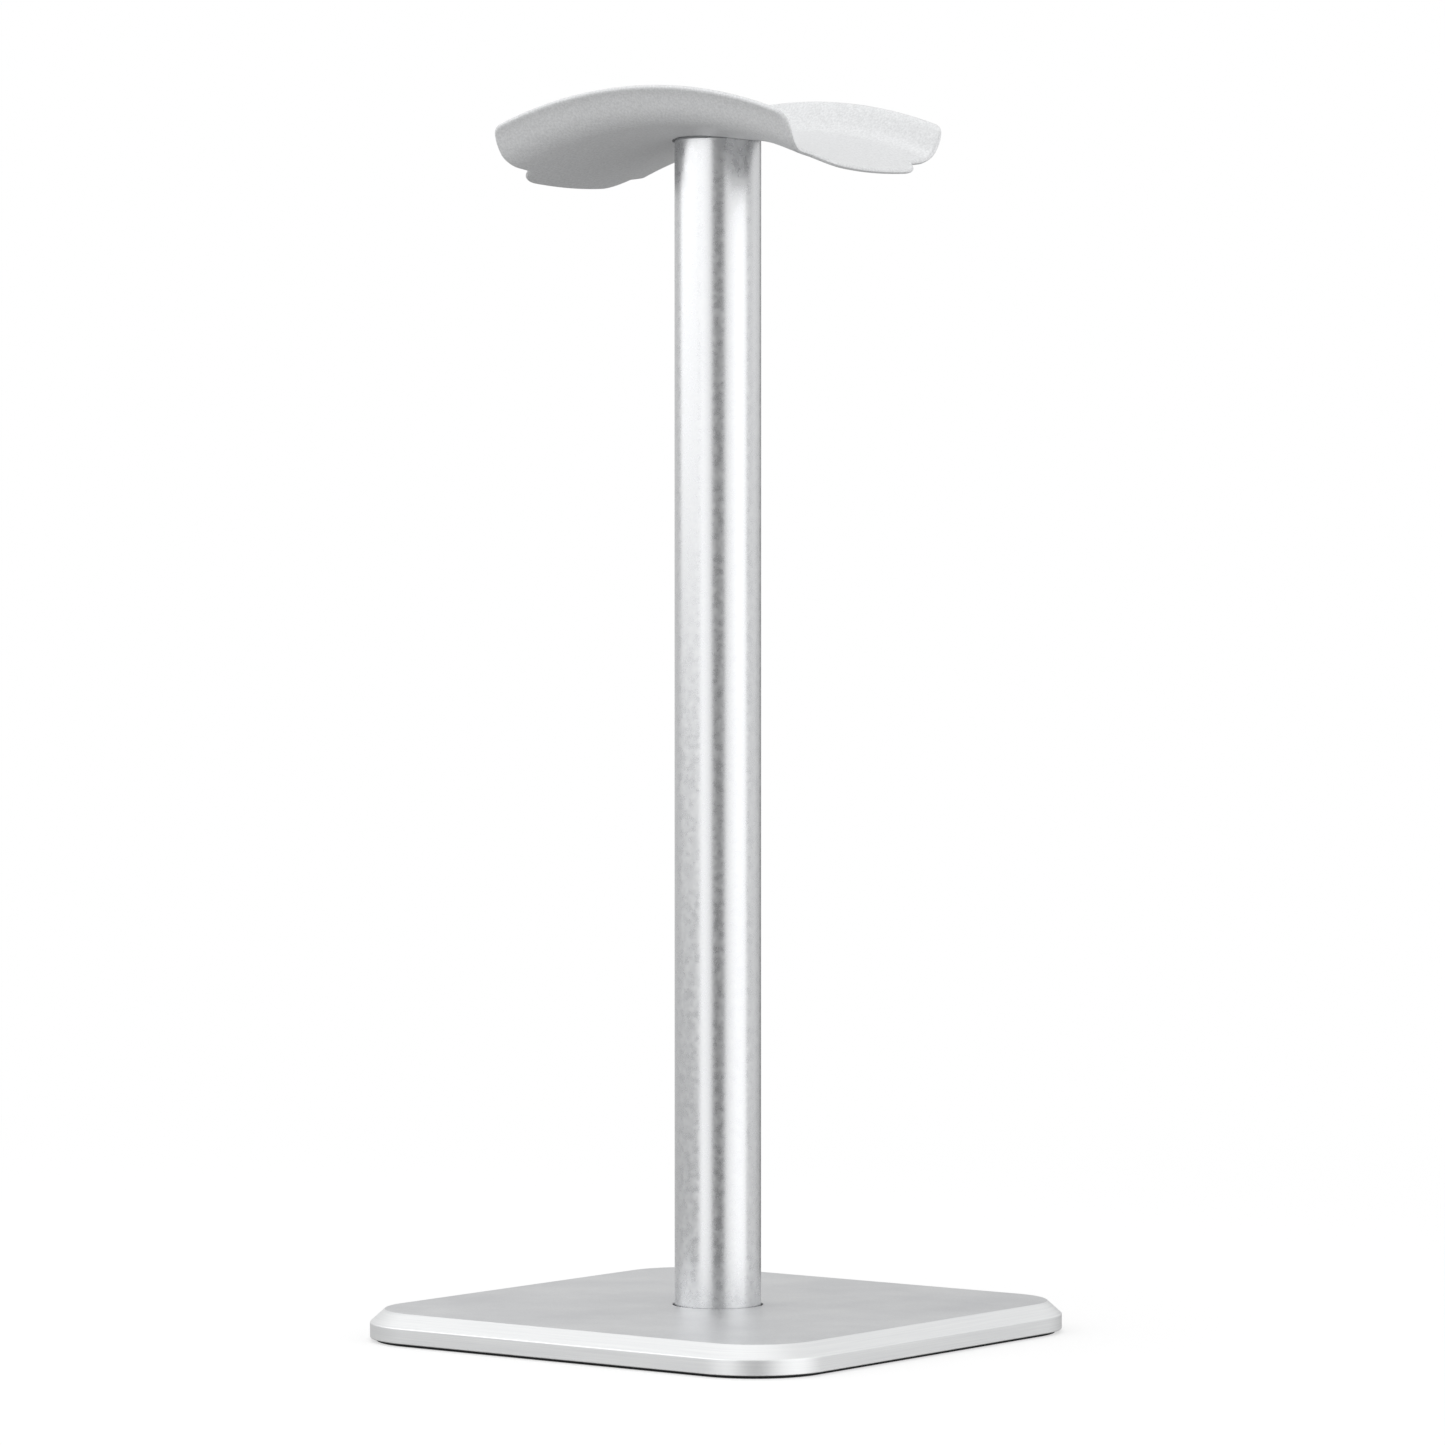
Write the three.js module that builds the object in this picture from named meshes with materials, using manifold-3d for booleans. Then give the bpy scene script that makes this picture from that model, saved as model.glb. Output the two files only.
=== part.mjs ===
// Headphone stand: a chamfered square base, one round pole and an arched saddle for the headband.
// Millimetres, +Z up. The origin is on the table, under the pole's axis. The headband runs along X.
import * as THREE from 'three';
import { mergeVertices } from 'three/addons/utils/BufferGeometryUtils.js';
import Module from 'manifold-3d';

const wasm = await Module();
wasm.setup();

// ---- Driving dimensions ----

// base cover
const coverSide = 100;
const coverCornerRadius = 15;
const coverWallHeight = 2.8;
const chamferRun = 2.75;
const chamferDrop = 2.45;

// anti-slip pad, part of it let into the cover's underside
const padStandOff = 0.6;
const padRecessDepth = 0.4;
const padInset = 1.0;
const padFit = 0.15;

// steel ballast plate in the cover's pocket
const ballastThickness = 2.6;
const ballastInset = 4.0;
const ballastFit = 0.3;
const ballastScrewInset = 15;

// pole
const poleHeight = 221.3;
const poleDiameter = 16;
const poleWall = 1.5;
const poleEdgeBreak = 0.4;
const footFit = 0.35;
const headFit = 0.45;

// threaded plugs in the pole's ends
const plugLength = 14;
const plugFit = 0.1;
const plugGap = 0.15;
const plugEdgeBreak = 0.5;

// saddle: a section of arcs and a straight flange, swept along an arch
const saddleThickness = 1.4;
const archRadius = 85.5;
const channelHalfWidth = 18.3;
const channelRadius = 122;
const bendRadius = 6.4;
const flangeSlope = THREE.MathUtils.degToRad(60.5);
const flangeLength = 2.4;
const lipRadius = 4.7;
const lipSlope = THREE.MathUtils.degToRad(38);
const lobeHalfLength = 33;
const lobeCornerRadius = 3.8;
const tongueHalfLength = 36.5;
const tongueHalfWidth = 15.6;
const tongueCornerRadius = 5.8;
const socketDepth = 0.5;
const spigotLength = 4;
const spigotFit = 0.15;
const spigotGap = 0.5;

// fasteners
const boltThread = 5;
const boltHead = 9.8;
const boltKey = 3;
const boltKeyDepth = 1.7;
const baseBoltLength = 14;
const saddleScrewLength = 16;
const weightThread = 3;
const weightHead = 5.6;
const weightKey = 2;
const weightKeyDepth = 0.9;
const headRim = 0.25;
const headSink = 0.1;
const headClearance = 0.15;
const shankClearance = 0.3;
const threadClearance = 0.1;
const tipBreak = 0.4;
const drillPoint = 0.3;
const coverSkin = 0.45;
const keyAccess = 1.2;

// facets
const roundSteps = 48;
const screwSteps = 24;
const cornerSteps = 5;
const archSteps = 20;
const channelSteps = 7;
const bendSteps = 3;
const lipSteps = 3;

// ---- Heights and radii that follow ----

const quarterTurn = Math.PI / 2;
const ballastBottom = padStandOff + padRecessDepth;
const ballastTop = ballastBottom + ballastThickness;
const wallTop = padStandOff + coverWallHeight;
const coverTop = wallTop + chamferDrop;
const poleRadius = poleDiameter / 2;
const boreRadius = poleRadius - poleWall;
const channelUnderside = poleHeight - socketDepth;
const channelTop = channelUnderside + saddleThickness;
const spigotEnd = poleHeight - spigotLength;
const past = 5;   // how far a cutting tool runs beyond the face that it opens

// ---- Solids ----

function toSolid(geometry) {
  const bare = geometry.clone();
  bare.deleteAttribute('normal');
  bare.deleteAttribute('uv');
  const merged = mergeVertices(bare);
  const triVerts = [];
  for (let i = 0; i < merged.index.count; i += 3) {
    const corners = [0, 1, 2].map((k) => merged.index.getX(i + k));
    if (new Set(corners).size === 3) triVerts.push(...corners);
  }
  const vertProperties = new Float32Array(merged.attributes.position.array);
  const mesh = new wasm.Mesh({ numProp: 3, vertProperties, triVerts: new Uint32Array(triVerts) });
  return new wasm.Manifold(mesh);
}

function toGeometry(solid) {
  const mesh = solid.getMesh();
  const geometry = new THREE.BufferGeometry();
  geometry.setAttribute('position', new THREE.BufferAttribute(new Float32Array(mesh.vertProperties), 3));
  geometry.setIndex(new THREE.BufferAttribute(new Uint32Array(mesh.triVerts), 1));
  geometry.computeVertexNormals();
  return geometry;
}

// a profile of [radius, height] points, turned about Z
function turned(profile, steps = roundSteps) {
  const points = profile.map(([radius, height]) => new THREE.Vector2(radius, height));
  return toSolid(new THREE.LatheGeometry(points, steps).rotateX(quarterTurn));
}

function rod(radius, low, high, steps = roundSteps) {
  return turned([[0, low], [radius, low], [radius, high], [0, high]], steps);
}

function roundedSquare(side, radius) {
  const reach = side / 2 - radius;
  const shape = new THREE.Shape();
  shape.absarc(reach, -reach, radius, -quarterTurn, 0);
  shape.absarc(reach, reach, radius, 0, quarterTurn);
  shape.absarc(-reach, reach, radius, quarterTurn, 2 * quarterTurn);
  shape.absarc(-reach, -reach, radius, 2 * quarterTurn, 3 * quarterTurn);
  return shape;
}

// a flat plate with the cover's outline, drawn in by inset all round
function plate(inset, low, high) {
  const outline = roundedSquare(coverSide - 2 * inset, coverCornerRadius - inset);
  const options = { depth: high - low, bevelEnabled: false, curveSegments: cornerSteps };
  return toSolid(new THREE.ExtrudeGeometry(outline, options).translate(0, 0, low));
}

// ---- Countersunk screws, built with the head's face at 0 and the tip towards +Z ----

function coneHeight(head, thread) {
  return (head - thread) / 2;
}

function countersunkScrew({ thread, head, length, key, keyDepth, steps }) {
  const body = turned([
    [0, 0],
    [head / 2, 0],
    [head / 2, headRim],
    [thread / 2, headRim + coneHeight(head, thread)],
    [thread / 2, length - tipBreak],
    [thread / 2 - tipBreak, length],
    [0, length],
  ], steps);
  const socket = rod(key / Math.sqrt(3), -past, keyDepth, 6);
  return body.subtract(socket);
}

// the countersunk hole that such a screw drops into, open below its head's face
function countersink({ thread, head, length, steps }) {
  const wide = head / 2 + headClearance;
  const narrow = thread / 2 + shankClearance;
  const cone = headRim + wide - narrow;
  return turned([[0, -past], [wide, -past], [wide, headRim], [narrow, cone], [narrow, length], [0, length]], steps);
}

const boltSize = { thread: boltThread, head: boltHead, key: boltKey, keyDepth: boltKeyDepth, steps: 2 * screwSteps };
const weightSize = { thread: weightThread, head: weightHead, key: weightKey, keyDepth: weightKeyDepth,
  steps: screwSteps };
const screwFace = ballastBottom + headSink;
const weightScrewLength = coverTop - coverSkin - drillPoint - screwFace;
const baseBolt = { ...boltSize, length: baseBoltLength };
const saddleScrew = { ...boltSize, length: saddleScrewLength };
const weightScrew = { ...weightSize, length: weightScrewLength };
const boltConeEnd = screwFace + headRim + coneHeight(boltHead, boltThread);
const footPlugLow = Math.max(ballastTop, boltConeEnd) + plugGap;

const screwReach = coverSide / 2 - ballastScrewInset;
const screwPlaces = [];
for (const x of [-screwReach, screwReach]) {
  for (const y of [-screwReach, screwReach]) {
    screwPlaces.push([x, y]);
  }
}

// ---- Base ----

function makeBaseCover() {
  const outline = roundedSquare(coverSide, coverCornerRadius);
  const block = toSolid(new THREE.ExtrudeGeometry(outline, {
    depth: wallTop,
    bevelThickness: chamferDrop,
    bevelSize: chamferRun,
    bevelOffset: -chamferRun,
    bevelSegments: 1,
    curveSegments: cornerSteps,
  }));
  let cover = block.subtract(plate(-past, -chamferDrop - past, padStandOff));
  cover = cover.subtract(plate(padInset, -past, ballastBottom));
  cover = cover.subtract(plate(ballastInset, -past, ballastTop));
  cover = cover.subtract(rod(poleRadius + footFit, -past, coverTop + past));
  const tapped = rod(weightThread / 2 + threadClearance, 0, screwFace + weightScrewLength + drillPoint, screwSteps);
  for (const [x, y] of screwPlaces) {
    cover = cover.subtract(tapped.translate([x, y, 0]));
  }
  return cover;
}

function makeBaseWeight() {
  let weight = plate(ballastInset + ballastFit, ballastBottom, ballastTop);
  weight = weight.subtract(countersink(baseBolt).translate([0, 0, screwFace]));
  const seat = countersink(weightScrew);
  for (const [x, y] of screwPlaces) {
    weight = weight.subtract(seat.translate([x, y, screwFace]));
  }
  return weight;
}

function makeBasePad() {
  const access = rod(boltHead / 2 + keyAccess, -past, ballastBottom + past);
  return plate(padInset + padFit, 0, ballastBottom).subtract(access);
}

// ---- Pole ----

function makePole() {
  const edge = poleRadius - poleEdgeBreak;
  return turned([
    [boreRadius, ballastTop],
    [edge, ballastTop],
    [poleRadius, ballastTop + poleEdgeBreak],
    [poleRadius, poleHeight - poleEdgeBreak],
    [edge, poleHeight],
    [boreRadius, poleHeight],
    [boreRadius, ballastTop],
  ]);
}

function makePlug(low) {
  const outer = boreRadius - plugFit;
  const tapped = boltThread / 2 + threadClearance;
  const high = low + plugLength;
  return turned([
    [tapped, low],
    [outer - plugEdgeBreak, low],
    [outer, low + plugEdgeBreak],
    [outer, high - plugEdgeBreak],
    [outer - plugEdgeBreak, high],
    [tapped, high],
    [tapped, low],
  ]);
}

// ---- Saddle ----

// half of the section as pieces of constant curvature, from the middle of the channel to the rim
const channelSlope = channelHalfWidth / channelRadius;
const sectionPieces = [
  { from: 0, to: channelSlope, length: channelHalfWidth, steps: channelSteps },
  { from: channelSlope, to: flangeSlope, length: bendRadius * (flangeSlope - channelSlope), steps: bendSteps },
  { from: flangeSlope, to: flangeSlope, length: flangeLength, steps: 1 },
  { from: flangeSlope, to: lipSlope, length: lipRadius * (flangeSlope - lipSlope), steps: lipSteps },
];

// stations along the half section: distance across, rise above the channel's middle, and slope
function halfSection() {
  const stations = [{ across: 0, rise: 0, slope: 0 }];
  let start = stations[0];
  for (const piece of sectionPieces) {
    const turn = piece.to - piece.from;
    for (let k = 1; k <= piece.steps; k++) {
      const part = k / piece.steps;
      const slope = piece.from + turn * part;
      const middle = (piece.from + slope) / 2;
      const half = turn * part / 2;
      const chord = piece.length * part * (half === 0 ? 1 : Math.sin(half) / half);
      stations.push({
        across: start.across + chord * Math.cos(middle),
        rise: start.rise + chord * Math.sin(middle),
        slope,
      });
    }
    start = stations[stations.length - 1];
  }
  return stations;
}

function roundedReach(across, halfWidth, halfLength, radius) {
  const into = THREE.MathUtils.clamp((across - halfWidth + radius) / radius, 0, 1);
  return halfLength - radius * (1 - Math.sqrt(1 - into * into));
}

// half the length of the saddle at a distance across it: the lobes, and the tongue between them
function saddleReach(across, rimAcross) {
  const lobe = roundedReach(across, rimAcross, lobeHalfLength, lobeCornerRadius);
  if (across > tongueHalfWidth) return lobe;
  return Math.max(lobe, roundedReach(across, tongueHalfWidth, tongueHalfLength, tongueCornerRadius));
}

// a flat blank, bent to the section across and to the arch along
function makeSaddleShell() {
  const half = halfSection();
  const mirrored = half.slice(1).reverse().map((s) => ({ ...s, across: -s.across, slope: -s.slope }));
  const stations = [...mirrored, ...half];
  const rimAcross = half[half.length - 1].across;
  const blank = new THREE.BoxGeometry(2, stations.length - 1, 1, archSteps, stations.length - 1, 1);
  blank.translate(0, (stations.length - 1) / 2, 0.5);
  const places = blank.attributes.position;
  for (let i = 0; i < places.count; i++) {
    const station = stations[Math.round(places.getY(i))];
    const lift = places.getZ(i) * saddleThickness;
    const angle = places.getX(i) * saddleReach(Math.abs(station.across), rimAcross) / archRadius;
    const radius = archRadius + station.rise + lift * Math.cos(station.slope);
    places.setXYZ(
      i,
      radius * Math.sin(angle),
      station.across - lift * Math.sin(station.slope),
      channelUnderside - archRadius + radius * Math.cos(angle),
    );
  }
  return toSolid(blank);
}

function makeSaddle() {
  const socket = rod(poleRadius + headFit, channelUnderside - past, poleHeight);
  const spigot = rod(boreRadius - spigotFit, spigotEnd, poleHeight + socketDepth / 2);
  const face = channelTop - headSink - headRim;
  const seat = countersink(saddleScrew).rotate([180, 0, 0]).translate([0, 0, face]);
  return makeSaddleShell().subtract(socket).add(spigot).subtract(seat);
}

function makeSaddleScrew() {
  return countersunkScrew(saddleScrew).rotate([180, 0, 0]).translate([0, 0, channelTop - headSink - headRim]);
}

// ---- Assembly ----

const coverAluminium = new THREE.MeshStandardMaterial({ color: 0xd4d5d6, roughness: 0.45, metalness: 0.6 });
const poleAluminium = new THREE.MeshStandardMaterial({ color: 0xcfd0d2, roughness: 0.3, metalness: 1 });
const plugAluminium = new THREE.MeshStandardMaterial({ color: 0xb8b9bb, roughness: 0.4, metalness: 1 });
const saddlePlastic = new THREE.MeshStandardMaterial({ color: 0xc9cacb, roughness: 0.45, metalness: 0.3 });
const ballastSteel = new THREE.MeshStandardMaterial({ color: 0x8d8f92, roughness: 0.5, metalness: 1 });
const screwSteel = new THREE.MeshStandardMaterial({ color: 0x9a9c9f, roughness: 0.35, metalness: 1 });
const padRubber = new THREE.MeshStandardMaterial({ color: 0x1a1a1b, roughness: 0.85, metalness: 0 });

const stand = new THREE.Group();

function addPiece(name, solid, material) {
  const mesh = new THREE.Mesh(toGeometry(solid), material);
  mesh.name = name;
  stand.add(mesh);
  return mesh;
}

addPiece('base_pad', makeBasePad(), padRubber);
addPiece('base_weight', makeBaseWeight(), ballastSteel);
addPiece('base_cover', makeBaseCover(), coverAluminium);
screwPlaces.forEach(([x, y], i) => {
  const screw = addPiece(`weight_screw_${i + 1}`, countersunkScrew(weightScrew), screwSteel);
  screw.position.set(x, y, screwFace);
});
addPiece('base_bolt', countersunkScrew(baseBolt), screwSteel).position.z = screwFace;
addPiece('foot_plug', makePlug(footPlugLow), plugAluminium);
addPiece('pole', makePole(), poleAluminium);
addPiece('head_plug', makePlug(spigotEnd - spigotGap - plugLength), plugAluminium);
addPiece('saddle', makeSaddle(), saddlePlastic);
addPiece('saddle_screw', makeSaddleScrew(), screwSteel);

export default stand;
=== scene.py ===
import math

import bmesh
import bpy
from mathutils import Matrix, Vector


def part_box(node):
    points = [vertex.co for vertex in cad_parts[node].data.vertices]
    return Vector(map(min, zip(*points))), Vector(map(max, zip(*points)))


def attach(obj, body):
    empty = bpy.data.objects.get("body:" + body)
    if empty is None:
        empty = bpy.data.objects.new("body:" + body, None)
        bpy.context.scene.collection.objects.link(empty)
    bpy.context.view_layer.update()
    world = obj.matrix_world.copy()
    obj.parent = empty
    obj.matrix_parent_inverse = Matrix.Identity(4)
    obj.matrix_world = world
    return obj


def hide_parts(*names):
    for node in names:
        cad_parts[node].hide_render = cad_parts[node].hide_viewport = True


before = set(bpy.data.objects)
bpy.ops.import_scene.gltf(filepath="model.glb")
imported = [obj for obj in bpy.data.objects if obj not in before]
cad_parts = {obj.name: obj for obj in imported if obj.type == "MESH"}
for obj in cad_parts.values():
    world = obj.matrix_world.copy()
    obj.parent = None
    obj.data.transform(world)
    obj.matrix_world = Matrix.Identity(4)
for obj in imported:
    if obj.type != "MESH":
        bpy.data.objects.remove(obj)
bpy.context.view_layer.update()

mm = 0.001
fullTurn = 2 * math.pi
weld = 1e-7                         # metres, points nearer than this are one point
overrun = 2 * mm                    # how far a cutting tool goes past the face it opens
bevelAngle = math.radians(25)       # edges sharper than this are rounded
creaseAngle = math.radians(40)      # edges sharper than this stay sharp in the shading
roundShare = 0.3                    # of an edge break, where its rounding turns
print("frame loaded:", ", ".join(sorted(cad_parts)))


def toLinear(hexColour):
    parts = [int(hexColour[i:i + 2], 16) / 255 for i in (1, 3, 5)]
    return [p / 12.92 if p <= 0.04045 else ((p + 0.055) / 1.055) ** 2.4 for p in parts] + [1.0]


def addNode(tree, kind, settings=None, links=None):
    node = tree.nodes.new(kind)
    for key, value in (settings or {}).items():
        if isinstance(key, int) or key in node.inputs:
            node.inputs[key].default_value = value
        else:
            setattr(node, key, value)
    for key, source in (links or {}).items():
        tree.links.new(source, node.inputs[key])
    return node


def startMaterial(name):
    material = bpy.data.materials.new(name)
    material.use_nodes = True
    tree = material.node_tree
    tree.nodes.clear()
    place = addNode(tree, "ShaderNodeTexCoord").outputs["Object"]
    return material, tree, place


def endMaterial(tree, settings, links):
    surface = addNode(tree, "ShaderNodeBsdfPrincipled", settings, links)
    addNode(tree, "ShaderNodeOutputMaterial", None, {"Surface": surface.outputs["BSDF"]})


def addRamp(tree, source, stops):
    ramp = addNode(tree, "ShaderNodeValToRGB", None, {"Fac": source})
    ramp.color_ramp.elements[0].position = stops[0][0]
    ramp.color_ramp.elements[0].color = stops[0][1]
    ramp.color_ramp.elements[1].position = stops[1][0]
    ramp.color_ramp.elements[1].color = stops[1][1]
    return ramp.outputs["Color"]


def grey(level):
    return [level, level, level, 1.0]


blast = {
    "colourDark": "#D2D3D5", "colourLight": "#DEDFE0",
    "metallic": 0.88,       # the clear anodic film over the metal scatters a little light
    "speckleDark": 0.86,    # how far a pit darkens the metal
    "grain": 0.40,          # mm between blasted pits, drawn about four times coarser than real
    "pitDepth": 0.010,      # mm
    "cloud": 14.0,          # mm, slow unevenness of the anodising
    "roughLow": 0.36, "roughHigh": 0.46,
}


# Bead-blasted aluminium with a clear silver anodised film: a soft, even sheen with no direction
def blastedAluminium():
    material, tree, place = startMaterial("blastedAnodisedAluminium")
    pits = addNode(tree, "ShaderNodeTexNoise",
                   {"Scale": 1 / (blast["grain"] * mm), "Detail": 2.0, "Roughness": 0.6},
                   {"Vector": place})
    cloud = addNode(tree, "ShaderNodeTexNoise",
                    {"Scale": 1 / (blast["cloud"] * mm), "Detail": 3.0, "Roughness": 0.5},
                    {"Vector": place})
    colour = addRamp(tree, cloud.outputs["Fac"],
                     [(0.3, toLinear(blast["colourDark"])), (0.7, toLinear(blast["colourLight"]))])
    speckle = addRamp(tree, pits.outputs["Fac"], [(0.25, grey(blast["speckleDark"])), (0.75, grey(1.0))])
    tint = addNode(tree, "ShaderNodeMix", {"data_type": "RGBA", "blend_type": "MULTIPLY", 0: 1.0},
                   {6: colour, 7: speckle})
    rough = addRamp(tree, pits.outputs["Fac"],
                    [(0.3, grey(blast["roughLow"])), (0.7, grey(blast["roughHigh"]))])
    bump = addNode(tree, "ShaderNodeBump", {"Strength": 0.5, "Distance": blast["pitDepth"] * mm},
                   {"Height": pits.outputs["Fac"]})
    endMaterial(tree, {"Metallic": blast["metallic"]},
                {"Base Color": tint.outputs[2], "Roughness": rough, "Normal": bump.outputs["Normal"]})
    return material


milledPaintedBright = {
    # its two colours, lighter than the blasted top's, are a painted highlight on the wall and chamfer
    "colourDark": "#E2E3E4", "colourLight": "#EAEBEB",
    "pitch": 0.16,          # mm between cutter lines
    "run": 26.0,            # mm that one line can be followed along the edge
    "depth": 0.0008,        # mm
    "roughLow": 0.44, "roughHigh": 0.54,
}


# The base's wall and chamfer, milled after blasting, with fine level lines; their colour, brighter than the
# top's, is a painted highlight
def milledAluminiumPaintedBright():
    material, tree, place = startMaterial("milledAluminiumPaintedHighlight")
    along, upward = 1 / (milledPaintedBright["run"] * mm), 1 / (milledPaintedBright["pitch"] * mm)
    stretch = addNode(tree, "ShaderNodeMapping", {"Scale": (along, along, upward)}, {"Vector": place})
    lines = addNode(tree, "ShaderNodeTexNoise", {"Scale": 1.0, "Detail": 3.0, "Roughness": 0.65},
                    {"Vector": stretch.outputs["Vector"]})
    colour = addRamp(tree, lines.outputs["Fac"],
                     [(0.35, toLinear(milledPaintedBright["colourDark"])), (0.65, toLinear(milledPaintedBright["colourLight"]))])
    rough = addRamp(tree, lines.outputs["Fac"],
                    [(0.3, grey(milledPaintedBright["roughLow"])), (0.7, grey(milledPaintedBright["roughHigh"]))])
    bump = addNode(tree, "ShaderNodeBump", {"Strength": 0.5, "Distance": milledPaintedBright["depth"] * mm},
                   {"Height": lines.outputs["Fac"]})
    endMaterial(tree, {"Metallic": 1.0},
                {"Base Color": colour, "Roughness": rough, "Normal": bump.outputs["Normal"]})
    return material


tube = {
    "colourDark": "#CFD0D2", "colourLight": "#DADBDC",
    "mottle": 1.4,          # mm, size of the film's mottling
    "grain": 0.28,          # mm, fine blasted pits, drawn coarser than real
    "mottleDepth": 0.0014, "pitDepth": 0.0004,    # mm
    "roughLow": 0.24, "roughHigh": 0.34,
}


# Drawn aluminium tube, lightly blasted and silver anodised: long soft highlights with uneven edges
def satinTube():
    material, tree, place = startMaterial("satinAnodisedTube")
    mottle = addNode(tree, "ShaderNodeTexNoise",
                     {"Scale": 1 / (tube["mottle"] * mm), "Detail": 2.0, "Roughness": 0.5},
                     {"Vector": place})
    pits = addNode(tree, "ShaderNodeTexNoise",
                   {"Scale": 1 / (tube["grain"] * mm), "Detail": 1.0, "Roughness": 0.5},
                   {"Vector": place})
    colour = addRamp(tree, mottle.outputs["Fac"],
                     [(0.3, toLinear(tube["colourDark"])), (0.7, toLinear(tube["colourLight"]))])
    rough = addRamp(tree, mottle.outputs["Fac"],
                    [(0.3, grey(tube["roughLow"])), (0.7, grey(tube["roughHigh"]))])
    wave = addNode(tree, "ShaderNodeBump", {"Strength": 0.5, "Distance": tube["mottleDepth"] * mm},
                   {"Height": mottle.outputs["Fac"]})
    bump = addNode(tree, "ShaderNodeBump", {"Strength": 0.5, "Distance": tube["pitDepth"] * mm},
                   {"Height": pits.outputs["Fac"], "Normal": wave.outputs["Normal"]})
    endMaterial(tree, {"Metallic": 1.0},
                {"Base Color": colour, "Roughness": rough, "Normal": bump.outputs["Normal"]})
    return material


moulding = {
    "colourDark": "#D9DADB", "colourLight": "#EDEEEF",
    "grain": 0.42,          # mm, spark-eroded grain of the mould, drawn coarser than real
    "grainDepth": 0.022,    # mm
    "flake": 0.12,          # mm, metallic flake in the plastic
    "flakeDark": 0.93,      # how far the gap between two flakes darkens it
    "metallic": 0.2, "ior": 1.53,
    "roughLow": 0.40, "roughHigh": 0.50,
}


# Injection-moulded ABS in metallic silver: softer and milkier than the metal, with a fine matt grain
def silverPlastic():
    material, tree, place = startMaterial("silverMouldedAbs")
    grain = addNode(tree, "ShaderNodeTexNoise",
                    {"Scale": 1 / (moulding["grain"] * mm), "Detail": 2.0, "Roughness": 0.55},
                    {"Vector": place})
    flake = addNode(tree, "ShaderNodeTexVoronoi", {"Scale": 1 / (moulding["flake"] * mm)},
                    {"Vector": place})
    colour = addRamp(tree, grain.outputs["Fac"],
                     [(0.3, toLinear(moulding["colourDark"])), (0.7, toLinear(moulding["colourLight"]))])
    sparkle = addRamp(tree, flake.outputs["Distance"], [(0.1, grey(1.0)), (0.7, grey(moulding["flakeDark"]))])
    tint = addNode(tree, "ShaderNodeMix", {"data_type": "RGBA", "blend_type": "MULTIPLY", 0: 1.0},
                   {6: colour, 7: sparkle})
    rough = addRamp(tree, grain.outputs["Fac"],
                    [(0.3, grey(moulding["roughLow"])), (0.7, grey(moulding["roughHigh"]))])
    bump = addNode(tree, "ShaderNodeBump", {"Strength": 0.5, "Distance": moulding["grainDepth"] * mm},
                   {"Height": grain.outputs["Fac"]})
    endMaterial(tree, {"Metallic": moulding["metallic"], "IOR": moulding["ior"]},
                {"Base Color": tint.outputs[2], "Roughness": rough, "Normal": bump.outputs["Normal"]})
    return material


rubber = {
    "colourDark": "#121213", "colourLight": "#1E1F20",
    "pebble": 0.45,         # mm
    "pebbleDepth": 0.04,    # mm
    "roughHigh": 0.88, "roughLow": 0.72, "ior": 1.43,
}


# Black silicone rubber sheet with a pebbled face: dull, and a little dusty on its high spots
def pebbledRubber():
    material, tree, place = startMaterial("pebbledSiliconeRubber")
    pebble = addNode(tree, "ShaderNodeTexVoronoi",
                     {"Scale": 1 / (rubber["pebble"] * mm), "feature": "SMOOTH_F1"},
                     {"Vector": place})
    colour = addRamp(tree, pebble.outputs["Distance"],
                     [(0.1, toLinear(rubber["colourLight"])), (0.6, toLinear(rubber["colourDark"]))])
    rough = addRamp(tree, pebble.outputs["Distance"],
                    [(0.1, grey(rubber["roughLow"])), (0.6, grey(rubber["roughHigh"]))])
    bump = addNode(tree, "ShaderNodeBump",
                   {"Strength": 0.6, "Distance": rubber["pebbleDepth"] * mm, "invert": True},
                   {"Height": pebble.outputs["Distance"]})
    endMaterial(tree, {"IOR": rubber["ior"]},
                {"Base Color": colour, "Roughness": rough, "Normal": bump.outputs["Normal"]})
    return material


metalLineDepth = 0.004      # mm


# Bare metal with fine tool lines: grey zinc on the ballast, warm bright nickel on the screws and
# pale turned aluminium on the plugs. The three sizes of brush, in mm, stretch the lines.
def linedMetal(name, darkHex, lightHex, roughLow, roughHigh, brush):
    material, tree, place = startMaterial(name)
    stretch = addNode(tree, "ShaderNodeMapping", {"Scale": [1 / (size * mm) for size in brush]},
                      {"Vector": place})
    lines = addNode(tree, "ShaderNodeTexNoise", {"Scale": 1.0, "Detail": 3.0, "Roughness": 0.6},
                    {"Vector": stretch.outputs["Vector"]})
    colour = addRamp(tree, lines.outputs["Fac"], [(0.3, toLinear(darkHex)), (0.7, toLinear(lightHex))])
    rough = addRamp(tree, lines.outputs["Fac"], [(0.3, grey(roughLow)), (0.7, grey(roughHigh))])
    bump = addNode(tree, "ShaderNodeBump", {"Strength": 0.4, "Distance": metalLineDepth * mm},
                   {"Height": lines.outputs["Fac"]})
    endMaterial(tree, {"Metallic": 1.0},
                {"Base Color": colour, "Roughness": rough, "Normal": bump.outputs["Normal"]})
    return material


coverFinish = blastedAluminium()
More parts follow.
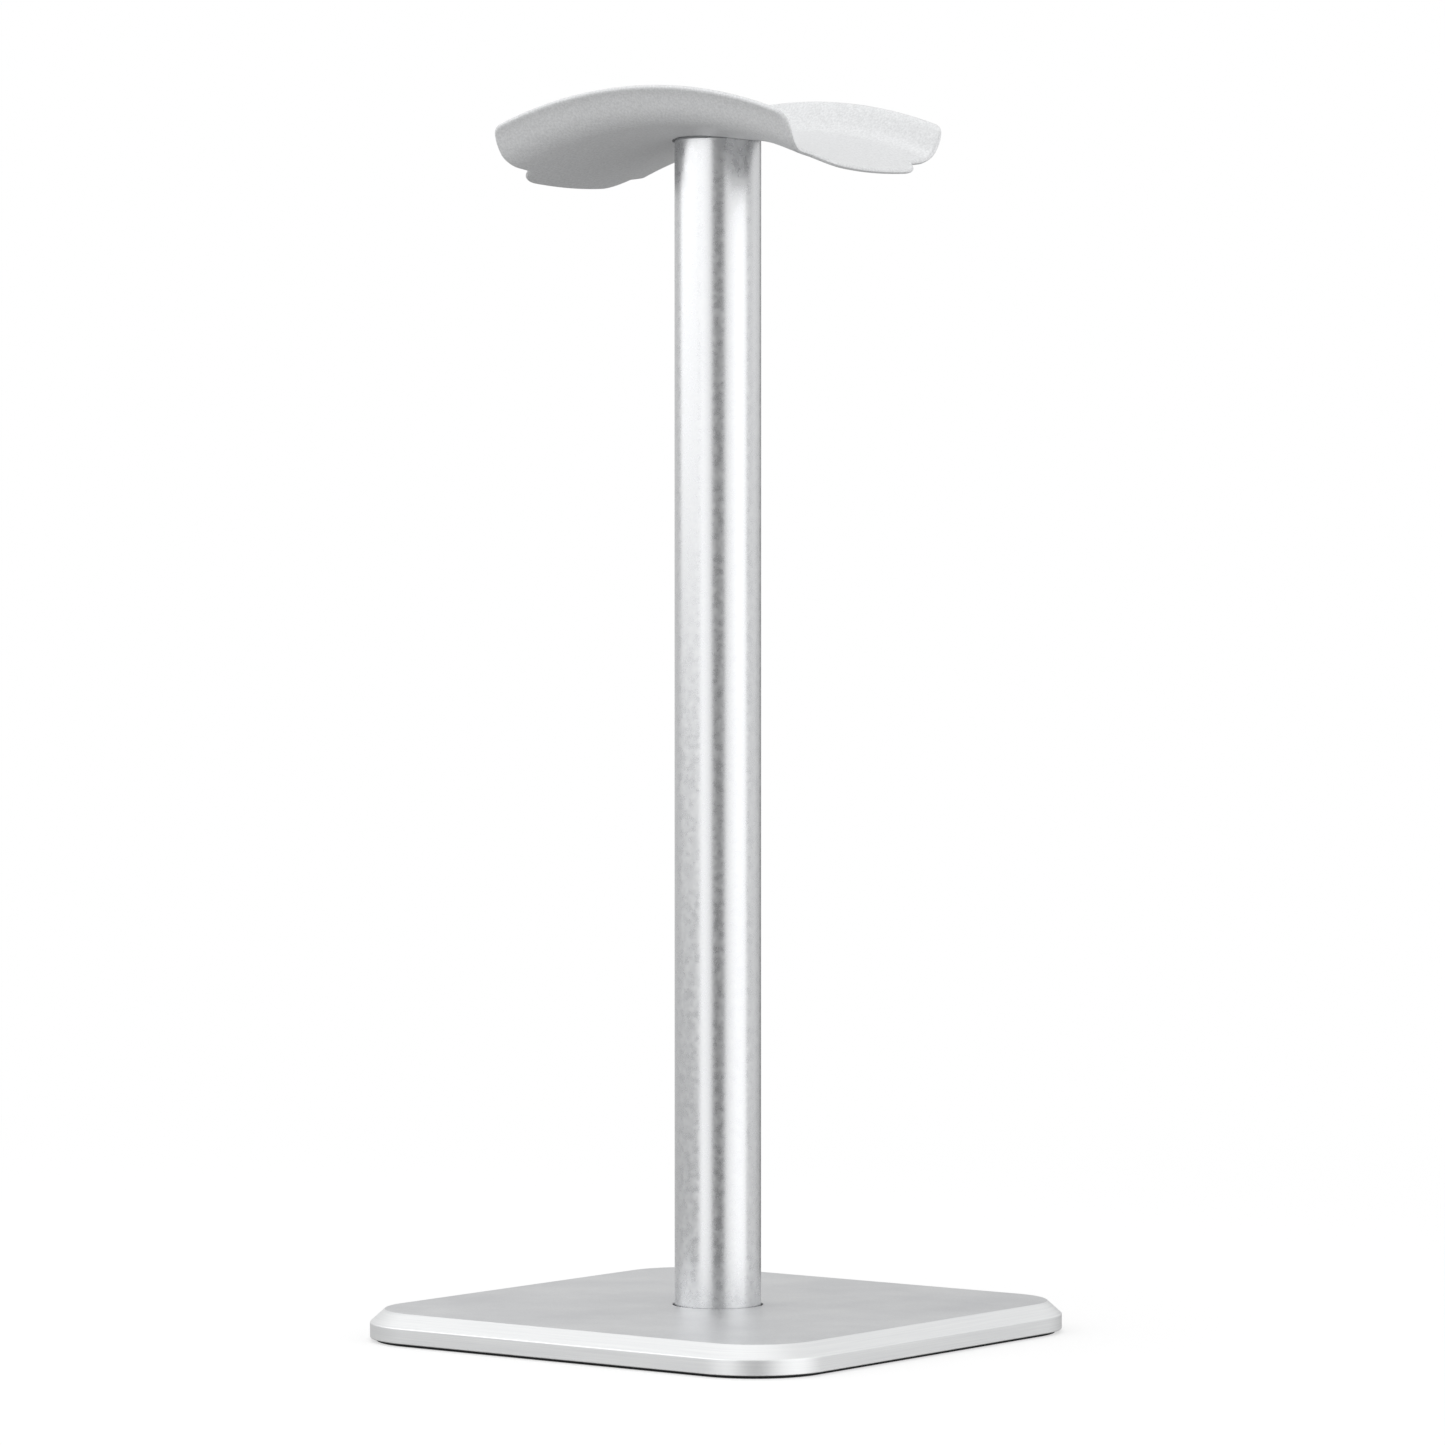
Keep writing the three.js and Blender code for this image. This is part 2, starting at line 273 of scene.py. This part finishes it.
# the wall's and chamfer's finish, its lighter colour a painted highlight
edgeFinishPaintedBright = milledAluminiumPaintedBright()
poleFinish = satinTube()
saddleFinish = silverPlastic()
padFinish = pebbledRubber()
ballastFinish = linedMetal("zincPlatedSheetSteel", "#8E9196", "#A4A8AD", 0.34, 0.5, (6.0, 0.2, 0.2))
screwFinish = linedMetal("nickelPlatedSteel", "#A6A5A2", "#BBBAB6", 0.22, 0.32, (0.25, 0.25, 0.25))
plugFinish = linedMetal("turnedAluminium", "#BFC0C2", "#D0D1D2", 0.25, 0.36, (9.0, 9.0, 0.12))
print("materials made")


def cleanUp(bm):
    bmesh.ops.remove_doubles(bm, verts=bm.verts, dist=weld)
    bmesh.ops.recalc_face_normals(bm, faces=bm.faces)


def softenEdges(bm, width, steps):
    sharp = [e for e in bm.edges if e.is_manifold and e.calc_face_angle() > bevelAngle]
    bmesh.ops.bevel(bm, geom=sharp, offset=width, offset_type="OFFSET", affect="EDGES", segments=steps,
                    profile=0.5, material=-1, clamp_overlap=True)


def makeObject(bm, name, finishes):
    for face in bm.faces:
        face.smooth = True
    for edge in bm.edges:
        edge.smooth = not (edge.is_manifold and edge.calc_face_angle() > creaseAngle)
    mesh = bpy.data.meshes.new(name)
    bm.to_mesh(mesh)
    bm.free()
    for finish in finishes:
        mesh.materials.append(finish)
    made = bpy.data.objects.new(name, mesh)
    bpy.context.collection.objects.link(made)
    return made


def evenShading(made):
    weighted = made.modifiers.new("even shading", "WEIGHTED_NORMAL")
    weighted.keep_sharp = True


def bringIn(made, slotName, *nodes):
    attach(made, "root")
    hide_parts(*nodes)


def moved(z):
    return Matrix.Translation((0, 0, z))


# a flat face with the base's outline
def outlineFace(bm, half, radius, z, cornerSteps):
    corners = bmesh.ops.create_grid(bm, x_segments=1, y_segments=1, size=half, matrix=moved(z))["verts"]
    bmesh.ops.bevel(bm, geom=corners, offset=radius, offset_type="OFFSET", affect="VERTICES",
                    segments=cornerSteps, profile=0.5, material=-1)
    return max(bm.faces, key=lambda face: len(face.verts))


# the face drawn out by height, with walls behind it
def drawOut(bm, face, height):
    made = bmesh.ops.extrude_face_region(bm, geom=[face])["geom"]
    lifted = [part for part in made if isinstance(part, bmesh.types.BMVert)]
    bmesh.ops.translate(bm, vec=(0, 0, height), verts=lifted)
    return [f for f in made if isinstance(f, bmesh.types.BMFace)][0]


def outlineSlab(bm, half, radius, low, high, cornerSteps):
    bottom = outlineFace(bm, half, radius, low, cornerSteps)
    top = drawOut(bm, bottom, high - low)
    if bottom not in bm.faces[:]:
        rim = [e for e in bm.edges if all(abs(v.co.z - low) < weld for v in e.verts)]
        bottom = bmesh.ops.contextual_create(bm, geom=rim)["faces"][0]
    bmesh.ops.recalc_face_normals(bm, faces=bm.faces)
    return bottom, top


def solidFrom(bm, name):
    mesh = bpy.data.meshes.new(name)
    bm.to_mesh(mesh)
    bm.free()
    made = bpy.data.objects.new(name, mesh)
    bpy.context.collection.objects.link(made)
    return made


# a Boolean modifier, applied, with its tool taken away
def combine(target, tool, operation):
    change = target.modifiers.new(operation, "BOOLEAN")
    change.operation, change.object, change.solver = operation, tool, "EXACT"
    result = bpy.data.meshes.new_from_object(target.evaluated_get(bpy.context.evaluated_depsgraph_get()))
    target.modifiers.clear()
    target.data = result
    bpy.data.objects.remove(tool)


def takeBack(made):
    bm = bmesh.new()
    bm.from_mesh(made.data)
    bpy.data.objects.remove(made)
    cleanUp(bm)
    return bm


def turnProfile(bm, profile, steps, closed=False):
    verts = [bm.verts.new((radius, 0, z)) for radius, z in profile]
    ends = verts[1:] + verts[:1] if closed else verts[1:]
    edges = [bm.edges.new(pair) for pair in zip(verts, ends)]
    bmesh.ops.spin(bm, geom=verts + edges, cent=(0, 0, 0), axis=(0, 0, 1), dvec=(0, 0, 0),
                   angle=fullTurn, steps=steps, use_merge=True)
    cleanUp(bm)


# a turned solid cut out of the target, or joined to it
def workRound(target, profile, steps, operation="DIFFERENCE", closed=False, at=(0, 0)):
    tool = bmesh.new()
    turnProfile(tool, profile, steps, closed)
    bmesh.ops.translate(tool, vec=(at[0], at[1], 0), verts=tool.verts)
    combine(target, solidFrom(tool, "tool"), operation)


cover = {
    "cornerRadius": 15.0, "cornerSteps": 24,
    "chamferRun": 2.75, "chamferDrop": 2.45,
    "padInset": 1.0, "recess": 0.4,
    "pocketInset": 4.0, "pocket": 2.6,
    "holeRadius": 8.35, "holeBreak": 0.25, "around": 128,
    "tapRadius": 1.6, "tapDepth": 1.8, "tapAround": 24,
    "edgeWidth": 0.16, "edgeSteps": 3,
    "seam": 0.02, "level": 0.93,    # faces this near the chamfer's line, and less level than this, are milled and take the painted highlight
}


def makeCover():
    c = cover
    low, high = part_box("base_cover")
    half = (high[0] - low[0]) / 2
    run, drop = c["chamferRun"] * mm, c["chamferDrop"] * mm
    bm = bmesh.new()
    bottom, top = outlineSlab(bm, half, c["cornerRadius"] * mm, low[2], high[2] - drop, c["cornerSteps"])
    bmesh.ops.inset_region(bm, faces=[top], thickness=run, depth=drop, use_even_offset=True,
                           use_boundary=True)
    # pad recess, then the ballast's pocket, both sunk into the underside
    for inset, depth in ((c["padInset"], c["recess"]), (c["pocketInset"] - c["padInset"], c["pocket"])):
        bmesh.ops.inset_region(bm, faces=[bottom], thickness=inset * mm, use_even_offset=True)
        bottom = drawOut(bm, bottom, depth * mm)
    ceiling = bottom.calc_center_median().z
    cleanUp(bm)
    softenEdges(bm, c["edgeWidth"] * mm, c["edgeSteps"])
    plate = solidFrom(bm, "plate")
    # the pole's hole with its broken edge, and the four tapped holes for the ballast's screws
    radius, edge = c["holeRadius"] * mm, c["holeBreak"] * mm
    workRound(plate, [(0, low[2] - overrun), (radius, low[2] - overrun), (radius, high[2] - edge),
                      (radius + roundShare * edge, high[2] - roundShare * edge),
                      (radius + edge, high[2]), (radius + edge, high[2] + overrun),
                      (0, high[2] + overrun)], c["around"])
    tapWide, tapLow, tapHigh = c["tapRadius"] * mm, ceiling - overrun / 4, ceiling + c["tapDepth"] * mm
    for i in range(1, 5):
        screwLow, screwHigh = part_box(f"weight_screw_{i}")
        middle = (Vector(screwLow) + Vector(screwHigh)) / 2
        workRound(plate, [(0, tapLow), (tapWide, tapLow), (tapWide, tapHigh), (0, tapHigh)],
                  c["tapAround"], at=(middle.x, middle.y))
    bm = takeBack(plate)
    corner, seam = half - c["cornerRadius"] * mm, c["seam"] * mm
    bound = half - run - seam
    for face in bm.faces:
        centre = face.calc_center_median()
        x, y = abs(centre.x), abs(centre.y)
        reach = math.hypot(max(x - corner, 0), max(y - corner, 0)) - c["cornerRadius"] * mm
        outside = max(x, y) > bound or reach > -run - seam
        # the wall and chamfer get the milled finish with its painted highlight, the top the blasted one
        face.material_index = 1 if outside and abs(face.normal.z) < c["level"] else 0
    made = makeObject(bm, "base_cover_plate", [coverFinish, edgeFinishPaintedBright])
    evenShading(made)
    bringIn(made, "cover_aluminium", "base_cover")


makeCover()
print("base cover made")


pole = {
    "wall": 1.5, "edgeBreak": 0.4,
    "edgeWidth": 0.12, "edgeSteps": 2,
    "around": 128,
}


def makePole():
    low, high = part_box("pole")
    radius = (high[0] - low[0]) / 2
    bore, edge = radius - pole["wall"] * mm, pole["edgeBreak"] * mm
    bm = bmesh.new()
    turnProfile(bm, [
        (bore, low[2] + edge / 2), (bore + edge / 2, low[2]),
        (radius - edge, low[2]), (radius, low[2] + edge),
        (radius, high[2] - edge), (radius - edge, high[2]),
        (bore + edge / 2, high[2]), (bore, high[2] - edge / 2),
    ], pole["around"], closed=True)
    softenEdges(bm, pole["edgeWidth"] * mm, pole["edgeSteps"])
    made = makeObject(bm, "pole_tube", [poleFinish])
    evenShading(made)
    bringIn(made, "pole_aluminium", "pole")


makePole()
print("pole made")


pad = {
    "cornerRadius": 13.85, "cornerSteps": 15,
    "accessRadius": 6.1, "around": 64,      # the hole that the base's screw is reached through
    "edgeWidth": 0.15, "edgeSteps": 3,
}


def makePad():
    low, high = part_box("base_pad")
    half = (high[0] - low[0]) / 2
    bm = bmesh.new()
    outlineSlab(bm, half, pad["cornerRadius"] * mm, low[2], high[2], pad["cornerSteps"])
    cleanUp(bm)
    softenEdges(bm, pad["edgeWidth"] * mm, pad["edgeSteps"])
    sheet = solidFrom(bm, "sheet")
    radius = pad["accessRadius"] * mm
    workRound(sheet, [(0, low[2] - overrun), (radius, low[2] - overrun),
                      (radius, high[2] + overrun), (0, high[2] + overrun)], pad["around"])
    made = makeObject(takeBack(sheet), "anti_slip_pad", [padFinish])
    evenShading(made)
    bringIn(made, "pad_rubber", "base_pad")


makePad()
print("pad made")


saddle = {
    "thickness": 1.4, "archRadius": 85.5,
    "channelHalfWidth": 18.3, "channelRadius": 122.0,
    "bendRadius": 6.4, "flangeSlope": 60.5, "flangeLength": 2.4,
    "lipRadius": 4.7, "lipSlope": 38.0,
    "lobeHalfLength": 33.0, "lobeCornerRadius": 3.8,
    "tongueHalfLength": 36.5, "tongueHalfWidth": 15.6, "tongueCornerRadius": 5.8,
    "rimSteps": 6, "cornerSteps": 20,
    "acrossStep": 0.7, "alongStep": 1.0,
    "flatWeld": 1e-4, "cutWeld": 1e-5, "meetGap": 0.05, "halvings": 40,
    "socketDepth": 0.5, "socketRadius": 8.45,
    "spigotRadius": 6.35, "spigotLength": 4.0, "spigotBreak": 0.3, "spigotRoot": 0.3,
    "screwHead": 5.05, "screwShank": 2.8, "seatRim": 0.25, "seatDepth": 6.0,
    "around": 96,
}


# the half section as stretches of constant curvature: slope at the start, slope at the end, length
def sectionStretches():
    s = saddle
    first = s["channelHalfWidth"] / s["channelRadius"]
    steep, lip = math.radians(s["flangeSlope"]), math.radians(s["lipSlope"])
    return [
        (0.0, first, s["channelHalfWidth"]),
        (first, steep, s["bendRadius"] * (steep - first)),
        (steep, steep, s["flangeLength"]),
        (steep, lip, s["lipRadius"] * (steep - lip)),
    ]


# where a walk of this length from the middle ends: distance across, rise and slope
def sectionAt(walk):
    across = rise = slope = 0.0
    for slopeIn, slopeOut, length in sectionStretches():
        part = min(walk, length)
        half = (slopeOut - slopeIn) * part / length / 2
        chord = part * (math.sin(half) / half if half else 1.0)
        across += chord * math.cos(slopeIn + half)
        rise += chord * math.sin(slopeIn + half)
        slope = slopeIn + 2 * half
        walk -= part
        if walk <= 0:
            break
    return across, rise, slope


# the walk that ends at a given distance across, by halving
def walkTo(across):
    low, high = 0.0, sum(length for _, _, length in sectionStretches())
    for _ in range(saddle["halvings"]):
        middle = (low + high) / 2
        if sectionAt(middle)[0] < across:
            low = middle
        else:
            high = middle
    return (low + high) / 2


# a rounded corner's points, from the end of the long side to the end of the short one
def cornerArc(halfLength, halfWidth, radius):
    angles = [math.pi / 2 * k / saddle["cornerSteps"] for k in range(saddle["cornerSteps"] + 1)]
    return [(halfLength - radius * (1 - math.cos(a)), halfWidth - radius * (1 - math.sin(a))) for a in angles]


# a quarter of the outline: round the tongue's corner to the lobe's end, then round the lobe's corner
def quarterOutline():
    s = saddle
    radius, lobeEnd = s["tongueCornerRadius"], s["lobeHalfLength"]
    tongue = cornerArc(s["tongueHalfLength"], s["tongueHalfWidth"], radius)
    sink = 1 - (s["tongueHalfLength"] - lobeEnd) / radius
    meet = s["tongueHalfWidth"] - radius * (1 - math.sqrt(1 - sink * sink))
    points = [point for point in tongue if point[0] > lobeEnd + s["meetGap"]] + [(lobeEnd, meet)]
    points += cornerArc(lobeEnd, sectionAt(math.inf)[0], s["lobeCornerRadius"])
    return [(along, walkTo(across)) for along, across in points]


# the saddle laid out flat in mm, with its edge rounded in full and a grid of cuts to bend it along
def flatSaddle():
    s = saddle
    quarter = quarterOutline()
    upper = quarter + [(-along, walk) for along, walk in reversed(quarter)]
    outline = upper + [(along, -walk) for along, walk in reversed(upper)]
    radius = s["thickness"] / 2
    bm = bmesh.new()
    face = bm.faces.new([bm.verts.new((along, walk, 0)) for along, walk in outline])
    if face.normal.z < 0:
        face.normal_flip()
    for k in range(s["rimSteps"]):
        first, last = (math.pi / 2 * step / s["rimSteps"] for step in (k, k + 1))
        bmesh.ops.inset_region(bm, faces=[face], thickness=radius * (math.cos(first) - math.cos(last)),
                               depth=radius * (math.sin(last) - math.sin(first)),
                               use_even_offset=True, use_boundary=True)
    bmesh.ops.mirror(bm, geom=bm.verts[:] + bm.edges[:] + bm.faces[:], axis="Z",
                     merge_dist=s["flatWeld"])
    widest = max(walk for _, walk in outline)
    for reach, step, axis in ((s["tongueHalfLength"], s["alongStep"], Vector((1, 0, 0))),
                              (widest, s["acrossStep"], Vector((0, 1, 0)))):
        count = math.ceil(2 * reach / step)
        for k in range(1, count):
            bmesh.ops.bisect_plane(bm, geom=bm.verts[:] + bm.edges[:] + bm.faces[:], dist=s["cutWeld"],
                                   plane_co=axis * (-reach + 2 * reach * k / count), plane_no=axis)
    return bm


def makeSaddle():
    s = saddle
    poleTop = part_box("pole")[1][2]
    underside = poleTop - s["socketDepth"] * mm
    bm = flatSaddle()
    # bent across to the section and along to the arch
    for vert in bm.verts:
        across, rise, slope = sectionAt(abs(vert.co.y))
        above = s["thickness"] / 2 + vert.co.z
        across -= math.sin(slope) * above
        out = s["archRadius"] + rise + math.cos(slope) * above
        angle = vert.co.x / s["archRadius"]
        vert.co = (out * math.sin(angle) * mm, math.copysign(across, vert.co.y) * mm,
                   underside + (out * math.cos(angle) - s["archRadius"]) * mm)
    cleanUp(bm)
    shell = solidFrom(bm, "saddle_rest")
    # socket for the pole's end, the spigot inside it, and the countersunk screw's seat
    top = underside + s["thickness"] * mm
    inner, outer = s["spigotRadius"] * mm, s["socketRadius"] * mm
    workRound(shell, [(inner, underside - overrun), (outer, underside - overrun),
                      (outer, poleTop), (inner, poleTop)], s["around"], closed=True)
    tip, root = poleTop - s["spigotLength"] * mm, poleTop + s["spigotRoot"] * mm
    workRound(shell, [(0, tip), ((s["spigotRadius"] - s["spigotBreak"]) * mm, tip),
                      (inner, poleTop - (s["spigotLength"] - s["spigotBreak"]) * mm),
                      (inner, root), (0, root)], s["around"], operation="UNION")
    wide, narrow = s["screwHead"] * mm, s["screwShank"] * mm
    rim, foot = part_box("saddle_screw")[1][2] - s["seatRim"] * mm, poleTop - s["seatDepth"] * mm
    workRound(shell, [(0, top + overrun), (wide, top + overrun), (wide, rim),
                      (narrow, rim - wide + narrow), (narrow, foot), (0, foot)], s["around"])
    made = makeObject(takeBack(shell), "saddle_rest", [saddleFinish])
    evenShading(made)
    bringIn(made, "saddle_plastic", "saddle")


makeSaddle()
print("saddle made")


screw = {
    "headRadius": 4.9, "shankRadius": 2.5,
    "rim": 0.25, "headBreak": 0.12, "tipBreak": 0.4,
    "threadPitch": 0.8, "threadDepth": 0.22, "plain": 1.2,
    "rootStart": 0.25, "rootEnd": 0.5, "crest": 0.9,    # shares of the pitch
    "key": 3.0, "keyDepth": 1.7, "keyBreak": 0.18, "keyOverrun": 0.5,
    "keySides": 6, "breakAround": 48, "around": 64,
}


# radius and depth in mm from the head's face to the tip, with the thread as rings of its pitch
def screwProfile(length):
    s = screw
    head, shank, edge, pitch = s["headRadius"], s["shankRadius"], s["headBreak"], s["threadPitch"]
    cone = s["rim"] + head - shank
    points = [(0, 0), (head - edge, 0), (head - roundShare * edge, roundShare * edge),
              (head, edge), (head, s["rim"]), (shank, cone), (shank, cone + s["plain"])]
    turns = math.floor((length - s["tipBreak"] - cone - s["plain"]) / pitch)
    start = length - s["tipBreak"] - turns * pitch
    for k in range(turns):
        depth = start + k * pitch
        points += [(shank - s["threadDepth"], depth + s["rootStart"] * pitch),
                   (shank - s["threadDepth"], depth + s["rootEnd"] * pitch),
                   (shank, depth + s["crest"] * pitch)]
    return points + [(shank - s["tipBreak"], length), (0, length)]


def makeScrew(node, name, headUp):
    s = screw
    low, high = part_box(node)
    length = (high[2] - low[2]) / mm
    face, into = (high[2], -1) if headUp else (low[2], 1)
    bm = bmesh.new()
    turnProfile(bm, [(r * mm, face + into * depth * mm) for r, depth in screwProfile(length)], s["around"])
    body = solidFrom(bm, "body")
    corner, edge = s["key"] / math.sqrt(3), s["keyBreak"]
    # the hexagon key's hole, then the round break at its mouth
    for sides, wide, narrow, start, end in (
            (s["keySides"], corner, corner, -s["keyOverrun"], s["keyDepth"]),
            (s["breakAround"], corner + 2 * edge, corner - 2 * edge, -edge, 3 * edge)):
        cutter = bmesh.new()
        first, last = (narrow, wide) if headUp else (wide, narrow)
        bmesh.ops.create_cone(cutter, cap_ends=True, segments=sides, radius1=first * mm,
                              radius2=last * mm, depth=(end - start) * mm,
                              matrix=moved(face + into * (start + end) / 2 * mm))
        combine(body, solidFrom(cutter, "cutter"), "DIFFERENCE")
    made = makeObject(takeBack(body), name, [screwFinish])
    evenShading(made)
    bringIn(made, "screw_steel", node)


makeScrew("saddle_screw", "saddle_fixing_screw", True)
makeScrew("base_bolt", "base_fixing_screw", False)
print("screws made")


# the inner pieces whose CAD shape is right, with a finish of their own
carried = {
    "base_weight": ballastFinish,
    "foot_plug": plugFinish, "head_plug": plugFinish,
}
carried.update({f"weight_screw_{i}": screwFinish for i in range(1, 5)})
for name, finish in carried.items():
    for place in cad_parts[name].material_slots:
        place.material = finish
print("carried pieces finished")


camera = {
    "azimuth": 37.4,            # degrees round from the front
    "distance": 1.1368, "height": 0.13883, "aside": 0.00086,    # metres
    "pitch": 1.275,             # degrees down
    "lens": 153.25, "sensor": 36.0,                             # mm
    "clipStart": 0.01, "clipEnd": 50,                           # metres
}

# each softbox: degrees round from the camera's side, degrees up, distance, width and height in
# metres, radiance
softboxes = {
    "left front softbox": (-32, 0, 1.0, 0.60, 1.3, 1.0),
    "left side softbox": (-83, 21, 1.0, 1.30, 0.78, 1.0),
    "right softbox": (50, 0, 1.0, 1.24, 1.3, 0.95),
    "right rear softbox": (128, 28, 1.0, 0.9, 0.9, 0.18),
    "top left softbox": (-124, 57, 1.1, 1.1, 0.95, 0.20),
    "right low softbox": (106, -6, 1.0, 0.6, 0.5, 0.22),
    "overhead softbox": (0, 88, 1.0, 0.8, 0.8, 0.7),
}


# the level direction at a bearing given in degrees round from the camera's side
def towards(bearing):
    a = math.radians(camera["azimuth"] + bearing)
    return Vector((math.sin(a), -math.cos(a), 0))


def addSoftbox(name, bearing, elevation, distance, width, height, radiance):
    light = bpy.data.lights.new(name, "AREA")
    light.shape = "RECTANGLE"
    light.size, light.size_y = width, height
    light.energy = radiance * math.pi * width * height
    made = bpy.data.objects.new(name, light)
    e = math.radians(elevation)
    back = towards(bearing) * math.cos(e) + Vector((0, 0, math.sin(e)))
    made.rotation_mode = "QUATERNION"
    made.location = Vector((0, 0, camera["height"])) + back * distance
    made.rotation_quaternion = (-back).to_track_quat("-Z", "Y")
    bpy.context.collection.objects.link(made)


def makeCamera():
    made = bpy.data.objects.new("camera", bpy.data.cameras.new("camera"))
    made.data.lens, made.data.sensor_width = camera["lens"], camera["sensor"]
    made.data.clip_start, made.data.clip_end = camera["clipStart"], camera["clipEnd"]
    made.location = (towards(0) * camera["distance"] + towards(90) * camera["aside"]
                     + Vector((0, 0, camera["height"])))
    level = math.pi / 2
    made.rotation_euler = (level - math.radians(camera["pitch"]), 0, math.radians(camera["azimuth"]))
    bpy.context.collection.objects.link(made)
    bpy.context.scene.camera = made


sweep = {
    "radius": 4.0, "around": 128,
    "paintedTo": 0.06, "glowFrom": 0.5,     # metres from the pole's axis
    "leastGlow": 0.55,
    "paint": "#FAFAFA",
}


# a white sweep: partly painted near the stand, where it takes a soft shadow, and glowing further
# out, so that no horizon shows
def makeFloor():
    bm = bmesh.new()
    bmesh.ops.create_circle(bm, cap_ends=True, segments=sweep["around"], radius=sweep["radius"])
    floor = makeObject(bm, "studio_floor", [])
    material, tree, place = startMaterial("whiteSweep")
    away = addNode(tree, "ShaderNodeVectorMath", {"operation": "LENGTH"}, {0: place})
    far = addNode(tree, "ShaderNodeMapRange",
                  {"From Min": sweep["paintedTo"], "From Max": sweep["glowFrom"],
                   "To Min": sweep["leastGlow"], "interpolation_type": "SMOOTHSTEP"},
                  {"Value": away.outputs["Value"]})
    paint = addNode(tree, "ShaderNodeBsdfDiffuse", {"Color": toLinear(sweep["paint"])})
    glow = addNode(tree, "ShaderNodeEmission", {"Color": grey(1.0), "Strength": 1.0})
    both = addNode(tree, "ShaderNodeMixShader", None,
                   {0: far.outputs["Result"], 1: paint.outputs["BSDF"], 2: glow.outputs["Emission"]})
    # the sweep is clear from below, so that the stand's underside can be looked at
    side = addNode(tree, "ShaderNodeNewGeometry")
    clear = addNode(tree, "ShaderNodeBsdfTransparent")
    oneSided = addNode(tree, "ShaderNodeMixShader", None,
                       {0: side.outputs["Backfacing"], 1: both.outputs["Shader"],
                        2: clear.outputs["BSDF"]})
    addNode(tree, "ShaderNodeOutputMaterial", None, {"Surface": oneSided.outputs["Shader"]})
    floor.data.materials.append(material)
    floor.visible_glossy = floor.visible_diffuse = floor.visible_shadow = False


# each stretch: where it starts and ends, the level before and after it, and the way between them;
# the first two run over the cosine from a bearing and the next two over the height of the direction
room = {
    "cameraSide": (0.6, 0.97, 0.74, 0.33, "SMOOTHSTEP"),
    "curtain": (0.93, 0.985, 1.0, 0.42, "SMOOTHSTEP"),
    "below": (-0.35, 0.04, 0.42, 1.0, "SMOOTHSTEP"),
    "above": (0.2, 1.0, 1.0, 1.12, "LINEAR"),
    "curtainBearing": 163,      # degrees round from the camera's side
}


# the room: even and pale all round, darker on the camera's side and towards the floor, brighter
# overhead, with a narrow grey curtain behind on the right that draws the pole's dark right edge
def makeRoom():
    world = bpy.data.worlds.new("studio")
    world.use_nodes = True
    tree = world.node_tree
    tree.nodes.clear()
    place = addNode(tree, "ShaderNodeTexCoord").outputs["Generated"]
    height = addNode(tree, "ShaderNodeSeparateXYZ", None, {0: place}).outputs["Z"]

    def nearness(bearing):
        dot = addNode(tree, "ShaderNodeVectorMath", {"operation": "DOT_PRODUCT", 1: towards(bearing)},
                      {0: place})
        return dot.outputs["Value"]

    strength = None
    for name, source in (("cameraSide", nearness(0)), ("below", height), ("above", height),
                         ("curtain", nearness(room["curtainBearing"]))):
        start, end, before, after, blend = room[name]
        factor = addNode(tree, "ShaderNodeMapRange",
                         {"From Min": start, "From Max": end, "To Min": before, "To Max": after,
                          "interpolation_type": blend}, {"Value": source}).outputs[0]
        if strength:
            factor = addNode(tree, "ShaderNodeMath", {"operation": "MULTIPLY"},
                             {0: strength, 1: factor}).outputs[0]
        strength = factor
    seen = addNode(tree, "ShaderNodeLightPath")
    dim = addNode(tree, "ShaderNodeBackground", {"Color": grey(1.0)}, {"Strength": strength})
    white = addNode(tree, "ShaderNodeBackground", {"Color": grey(1.0), "Strength": 1.0})
    both = addNode(tree, "ShaderNodeMixShader", None,
                   {0: seen.outputs["Is Camera Ray"], 1: dim.outputs["Background"],
                    2: white.outputs["Background"]})
    addNode(tree, "ShaderNodeOutputWorld", None, {"Surface": both.outputs["Shader"]})
    bpy.context.scene.world = world


makeCamera()
makeFloor()
makeRoom()
for name, settings in softboxes.items():
    addSoftbox(name, *settings)
bpy.context.scene.view_settings.view_transform = "Standard"
print("studio made")
